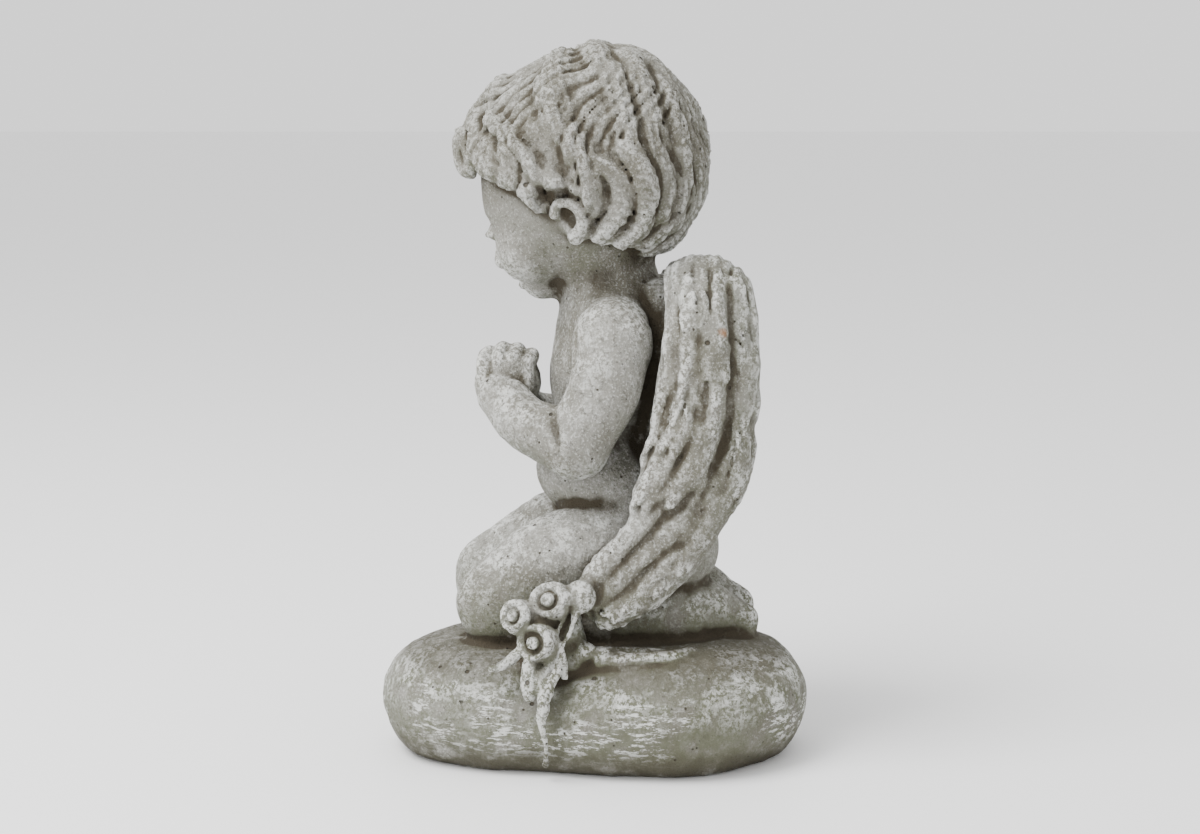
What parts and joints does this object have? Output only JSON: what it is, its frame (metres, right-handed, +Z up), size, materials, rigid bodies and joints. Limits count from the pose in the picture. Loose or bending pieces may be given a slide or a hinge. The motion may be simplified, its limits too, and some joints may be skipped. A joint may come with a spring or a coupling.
{
  "type": "praying angel statue",
  "caption": "Weathered cast-concrete cherub with folded wings, kneeling in prayer on a puffed heart base with a small rose bouquet.",
  "frame": {"origin": "on the flat underside of the heart base, below the middle of the kneeling figure", "axes": "+Z up; the figure faces -Y; +X is towards the figure's left hand, the notch of the heart and the roses"},
  "size_m": [0.1529, 0.1513, 0.25],
  "materials": {
    "cast_concrete": "weathered warm grey concrete, sandy grain, pale worn edges, dark dirt in the creases, faint green on the back"
  },
  "bodies": {
    "root": {"angel_statue": "cast_concrete"}
  },
  "joints": []
}
